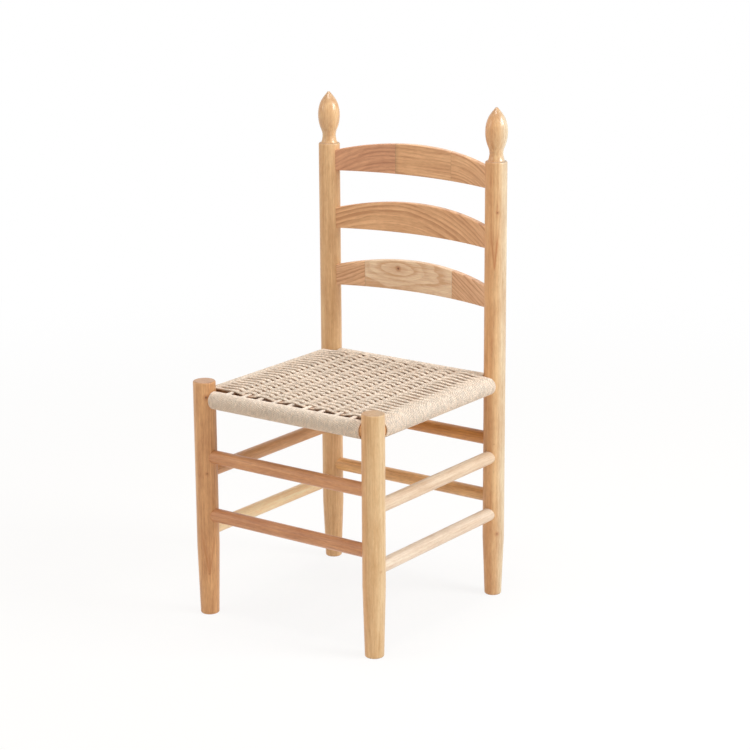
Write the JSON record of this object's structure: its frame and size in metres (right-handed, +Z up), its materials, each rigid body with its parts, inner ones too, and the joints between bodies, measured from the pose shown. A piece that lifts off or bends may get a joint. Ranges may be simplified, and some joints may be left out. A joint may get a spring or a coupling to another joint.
{
  "type": "ladderback side chair",
  "caption": "Ladderback dining chair with turned posts and pointed finials, bowed back slats, round rungs and a woven paper cord seat.",
  "frame": {"origin": "on the floor, under the middle of the chair's outer box", "axes": "+Z up, the chair faces -Y, its left side seen from the front is -X"},
  "size_m": [0.4316, 0.4478, 0.955],
  "materials": {
    "leg_wood": "clear satin lacquer",
    "post_wood": "clear satin lacquer",
    "rung_wood": "clear satin lacquer",
    "slat_wood": "clear satin lacquer",
    "rail_wood": "bare, sanded",
    "seat_cord": "twisted paper cord, matt"
  },
  "bodies": {
    "root": {"front_leg_left": "leg_wood", "front_leg_right": "leg_wood", "rear_post_left": "post_wood", "rear_post_right": "post_wood", "front_rung_upper": "rung_wood", "front_rung_lower": "rung_wood", "rear_rung_upper": "rung_wood", "rear_rung_lower": "rung_wood", "left_rung_upper": "rung_wood", "left_rung_lower": "rung_wood", "right_rung_upper": "rung_wood", "right_rung_lower": "rung_wood", "back_slat_top": "slat_wood", "back_slat_middle": "slat_wood", "back_slat_bottom": "slat_wood", "seat_rail_front": "rail_wood", "seat_rail_rear": "rail_wood", "seat_rail_left": "rail_wood", "seat_rail_right": "rail_wood", "warp_cords": "seat_cord", "weft_cords_top": "seat_cord", "weft_cords_under": "seat_cord", "front_rail_cord": "seat_cord", "rear_rail_cord": "seat_cord", "left_rail_cord": "seat_cord", "right_rail_cord": "seat_cord"}
  },
  "joints": []
}
